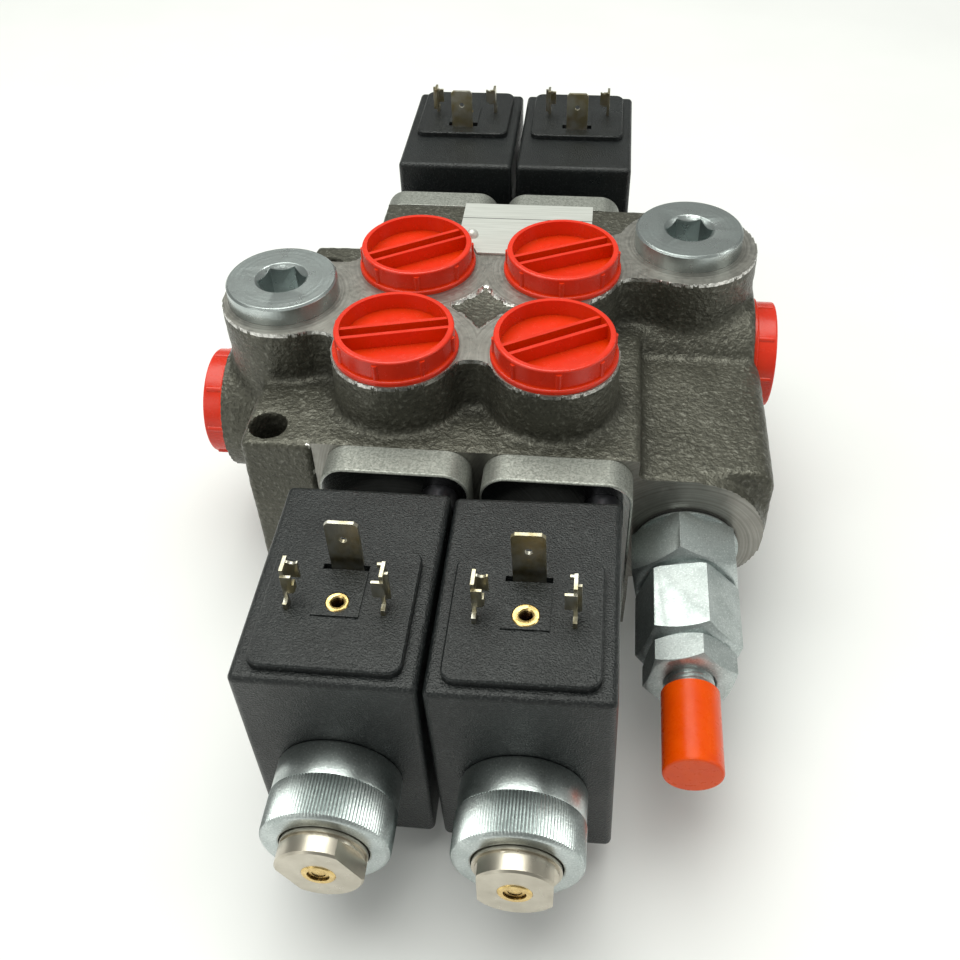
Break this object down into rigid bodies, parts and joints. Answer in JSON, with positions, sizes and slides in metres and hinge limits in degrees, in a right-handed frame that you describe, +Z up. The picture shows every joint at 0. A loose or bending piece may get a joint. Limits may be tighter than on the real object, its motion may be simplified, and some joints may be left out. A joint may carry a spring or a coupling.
{
  "type": "solenoid directional valve",
  "caption": "Cast monoblock directional control valve with spring-centred spools, a double solenoid on each, capped threaded ports, socket plugs and an adjustable relief valve.",
  "frame": {"origin": "centre of the flat mounting face, midway between the two spool axes and midway between the two machined end faces", "axes": "+Z up from the mounting face towards the work ports, +Y along the spools towards the rear solenoids, +X towards the relief valve side"},
  "size_m": [0.1396, 0.2712, 0.0745],
  "materials": {
    "cast_body": "rough sand cast, oiled",
    "flange_alloy": "satin, tumbled",
    "zinc_steel": "zinc plated",
    "ground_steel": "ground",
    "black_steel": "black oxide",
    "spring_steel": "drawn wire",
    "nickel_plate": "satin nickel plated",
    "black_housing": "fine moulded texture",
    "tinned_brass": "tin plated strip",
    "brass": "turned",
    "copper_wire": "enamelled copper wire",
    "black_rubber": "smooth",
    "red_plastic": "glossy moulded",
    "orange_plastic": "glossy dipped",
    "plate_alloy": "blank anodised plate"
  },
  "bodies": {
    "valve": {"valve_body": "cast_body", "flange_front_left": "flange_alloy", "solenoid_tube_front_left": "ground_steel", "coil_housing_front_left": "black_housing", "coil_nut_front_left": "zinc_steel", "flange_front_right": "flange_alloy", "solenoid_tube_front_right": "ground_steel", "coil_housing_front_right": "black_housing", "coil_nut_front_right": "zinc_steel", "flange_rear_left": "flange_alloy", "solenoid_tube_rear_left": "ground_steel", "coil_housing_rear_left": "black_housing", "coil_nut_rear_left": "zinc_steel", "flange_rear_right": "flange_alloy", "solenoid_tube_rear_right": "ground_steel", "coil_housing_rear_right": "black_housing", "coil_nut_rear_right": "zinc_steel", "flange_screws": "black_steel", "solenoid_seals": "black_rubber", "coil_spacers": "black_rubber", "coil_windings": "copper_wire", "coil_pole_rings": "ground_steel", "connector_inserts": "brass", "coil_terminals": "tinned_brass", "tube_end_plugs": "nickel_plate", "override_bushes": "brass", "hex_plug_left": "zinc_steel", "hex_plug_right": "zinc_steel", "plug_seals": "black_rubber", "name_plate": "plate_alloy", "name_plate_rivet": "plate_alloy", "relief_cartridge": "zinc_steel", "relief_seal": "black_rubber", "relief_bonnet": "zinc_steel", "relief_spring": "spring_steel", "centring_springs_left": "spring_steel", "centring_springs_right": "spring_steel"},
    "spool_left_assembly": {"spool_left": "ground_steel", "armatures_left": "ground_steel", "push_pins_left": "ground_steel"},
    "spool_right_assembly": {"spool_right": "ground_steel", "armatures_right": "ground_steel", "push_pins_right": "ground_steel"},
    "override_front_left": {"override_pin_front_left": "brass"},
    "override_front_right": {"override_pin_front_right": "brass"},
    "override_rear_left": {"override_pin_rear_left": "brass"},
    "override_rear_right": {"override_pin_rear_right": "brass"},
    "cap_a_left": {"port_cap_a_left": "red_plastic"},
    "cap_a_right": {"port_cap_a_right": "red_plastic"},
    "cap_b_left": {"port_cap_b_left": "red_plastic"},
    "cap_b_right": {"port_cap_b_right": "red_plastic"},
    "cap_tank": {"port_cap_tank": "red_plastic"},
    "cap_inlet": {"port_cap_inlet": "red_plastic"},
    "relief_seat": {"relief_spring_seat": "ground_steel"},
    "relief_screw": {"relief_spindle": "zinc_steel"},
    "relief_cover": {"relief_cap": "orange_plastic"},
    "relief_nut": {"relief_lock_nut": "zinc_steel"},
    "relief_valve_poppet": {"relief_poppet": "ground_steel"}
  },
  "joints": [
    {"name": "spool_left_shift", "type": "slide", "parent": "valve", "child": "spool_left_assembly", "axis": [0, 1, 0], "range_m": [-0.005, 0.005], "stiffness_N_per_m": 4000, "deforming": ["centring_springs_left"]},
    {"name": "spool_right_shift", "type": "slide", "parent": "valve", "child": "spool_right_assembly", "axis": [0, 1, 0], "range_m": [-0.005, 0.005], "stiffness_N_per_m": 4000, "deforming": ["centring_springs_right"]},
    {"name": "override_front_left_travel", "type": "slide", "parent": "valve", "child": "override_front_left", "axis": [0, 1, 0], "range_m": [-0.005, 0.005]},
    {"name": "override_front_right_travel", "type": "slide", "parent": "valve", "child": "override_front_right", "axis": [0, 1, 0], "range_m": [-0.005, 0.005]},
    {"name": "override_rear_left_travel", "type": "slide", "parent": "valve", "child": "override_rear_left", "axis": [0, 1, 0], "range_m": [-0.005, 0.005]},
    {"name": "override_rear_right_travel", "type": "slide", "parent": "valve", "child": "override_rear_right", "axis": [0, 1, 0], "range_m": [-0.005, 0.005]},
    {"name": "cap_a_left_pull", "type": "slide", "parent": "valve", "child": "cap_a_left", "axis": [0, 0, 1], "range_m": [0, 0.014]},
    {"name": "cap_a_right_pull", "type": "slide", "parent": "valve", "child": "cap_a_right", "axis": [0, 0, 1], "range_m": [0, 0.014]},
    {"name": "cap_b_left_pull", "type": "slide", "parent": "valve", "child": "cap_b_left", "axis": [0, 0, 1], "range_m": [0, 0.014]},
    {"name": "cap_b_right_pull", "type": "slide", "parent": "valve", "child": "cap_b_right", "axis": [0, 0, 1], "range_m": [0, 0.014]},
    {"name": "cap_tank_pull", "type": "slide", "parent": "valve", "child": "cap_tank", "axis": [-1, 0, 0], "range_m": [0, 0.014]},
    {"name": "cap_inlet_pull", "type": "slide", "parent": "valve", "child": "cap_inlet", "axis": [1, 0, 0], "range_m": [0, 0.014]},
    {"name": "relief_seat_travel", "type": "slide", "parent": "valve", "child": "relief_seat", "axis": [0, 1, 0], "range_m": [-0.002, 0.002]},
    {"name": "relief_screw_turn", "type": "hinge", "parent": "relief_seat", "child": "relief_screw", "pos_m": [0.0492, -0.08, 0.03], "axis": [0, 1, 0], "range_deg": [-722, 722]},
    {"name": "relief_cap_pull", "type": "slide", "parent": "relief_screw", "child": "relief_cover", "axis": [0, -1, 0], "range_m": [0, 0.02]},
    {"name": "relief_nut_turn", "type": "hinge", "parent": "valve", "child": "relief_nut", "pos_m": [0.0492, -0.0855, 0.03], "axis": [0, 1, 0], "range_deg": [-90, 0]},
    {"name": "relief_poppet_lift", "type": "slide", "parent": "valve", "child": "relief_valve_poppet", "axis": [0, -1, 0], "range_m": [0, 0.002], "stiffness_N_per_m": 8000, "deforming": ["relief_spring"]}
  ],
  "couplings": [
    {"joint": "override_front_left_travel", "follows": "spool_left_shift", "ratio": 1},
    {"joint": "override_front_right_travel", "follows": "spool_right_shift", "ratio": 1},
    {"joint": "override_rear_left_travel", "follows": "spool_left_shift", "ratio": 1},
    {"joint": "override_rear_right_travel", "follows": "spool_right_shift", "ratio": 1},
    {"joint": "relief_screw_turn", "follows": "relief_seat_travel", "rad_per_m": 6283.2}
  ]
}
